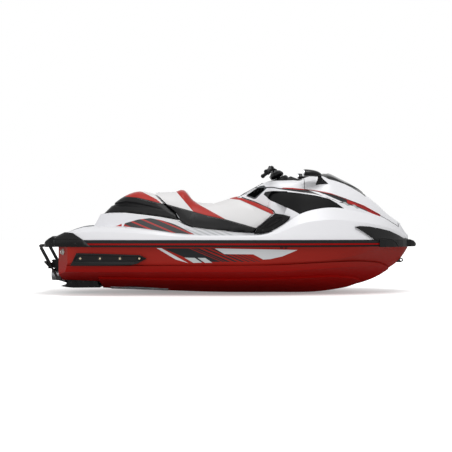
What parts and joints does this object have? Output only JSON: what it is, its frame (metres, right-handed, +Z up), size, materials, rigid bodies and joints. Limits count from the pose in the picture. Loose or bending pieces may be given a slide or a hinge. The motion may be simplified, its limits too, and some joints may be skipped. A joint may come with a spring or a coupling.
{
  "type": "personal watercraft",
  "caption": "Sit-on jet watercraft with stepped V hull, saddle seats, footwells, hinged hood, handlebar steering and a pump nozzle with reverse bucket.",
  "frame": {"origin": "middle of the length between the bumpers, on the centreline, on the waterline", "axes": "+X to the bow, +Y to port, +Z up"},
  "size_m": [3.471, 1.2298, 1.1572],
  "materials": {
    "red_gelcoat": "glossy moulded glass-fibre, deep red",
    "white_gelcoat": "glossy moulded glass-fibre, white",
    "black_plastic": "fine-grained black moulding",
    "black_gloss": "glossy black moulding",
    "red_gloss": "glossy dark red film",
    "grey_graphic": "glossy light grey film",
    "rail_rubber": "dark grey extruded rubber",
    "stripe_red": "red plastic strip",
    "guard_rubber": "black moulded rubber",
    "seat_white": "white marine vinyl",
    "seat_red": "red marine vinyl",
    "seat_black": "black grained marine vinyl",
    "deck_foam": "grooved grey foam matting",
    "cast_alloy": "painted cast aluminium",
    "stainless": "brushed stainless steel",
    "black_steel": "steel tube with a black powder coat",
    "mirror_face": "silvered mirror glass",
    "engine_alloy": "plain block for the engine"
  },
  "bodies": {
    "craft": {"hull": "red_gelcoat", "deck": "white_gelcoat", "console_vents": "black_plastic", "rear_seat": "seat_black", "front_seat": "seat_black", "intake_panel_starboard": "black_plastic", "intake_panel_port": "black_plastic", "knee_trim_starboard": "black_plastic", "knee_trim_port": "black_plastic", "rub_rail_starboard": "rail_rubber", "rub_rail_port": "rail_rubber", "rail_stripe_starboard": "stripe_red", "rail_stripe_port": "stripe_red", "stern_bumper_starboard": "guard_rubber", "stern_bumper_port": "guard_rubber", "sponson_starboard": "black_plastic", "sponson_port": "black_plastic", "bow_bumper": "guard_rubber", "sponson_bolts": "stainless", "ride_plate": "black_plastic", "intake_grate": "cast_alloy", "pump_housing": "cast_alloy", "bow_eye": "stainless", "stern_eyes": "stainless", "step_bracket": "black_steel", "gauge_pod": "black_gloss", "deck_mats": "deck_foam", "engine": "engine_alloy"},
    "hood_lid": {"hood": "white_gelcoat", "hood_visor": "black_gloss", "mirrors": "black_gloss", "mirror_glass": "mirror_face"},
    "glovebox": {"glovebox_lid": "white_gelcoat"},
    "steering": {"handlebar": "black_steel", "steering_stem": "black_steel", "bar_pad": "black_plastic", "grips": "guard_rubber", "levers": "black_plastic"},
    "nozzle": {"jet_nozzle": "cast_alloy"},
    "bucket": {"reverse_bucket": "black_plastic"},
    "rotor": {"impeller": "stainless"},
    "step": {"boarding_step": "black_steel", "step_tread": "black_plastic"}
  },
  "joints": [
    {"name": "handlebar_turn", "type": "hinge", "parent": "craft", "child": "steering", "pos_m": [0.4, 0, 0.818], "axis": [-0.4194, 0, 0.9078], "range_deg": [-25, 25]},
    {"name": "nozzle_steer", "type": "hinge", "parent": "craft", "child": "nozzle", "pos_m": [-1.56, 0, -0.075], "axis": [0, 0, 1], "range_deg": [-20, 20]},
    {"name": "bucket_swing", "type": "hinge", "parent": "craft", "child": "bucket", "pos_m": [-1.568, 0, -0.075], "axis": [0, -1, 0], "range_deg": [0, 68]},
    {"name": "impeller_spin", "type": "hinge", "parent": "craft", "child": "rotor", "pos_m": [-1.3, 0, -0.075], "axis": [1, 0, 0], "continuous": true},
    {"name": "hood_open", "type": "hinge", "parent": "craft", "child": "hood_lid", "pos_m": [1.512, 0, 0.4], "axis": [0, 1, 0], "range_deg": [0, 45]},
    {"name": "glovebox_open", "type": "hinge", "parent": "craft", "child": "glovebox", "pos_m": [0.258, 0, 0.768], "axis": [0, 1, 0], "range_deg": [0, 70]},
    {"name": "step_fold", "type": "hinge", "parent": "craft", "child": "step", "pos_m": [-1.612, 0, -0.1], "axis": [0, -1, 0], "range_deg": [0, 115]}
  ],
  "couplings": [
    {"joint": "nozzle_steer", "follows": "handlebar_turn", "ratio": -0.8}
  ]
}
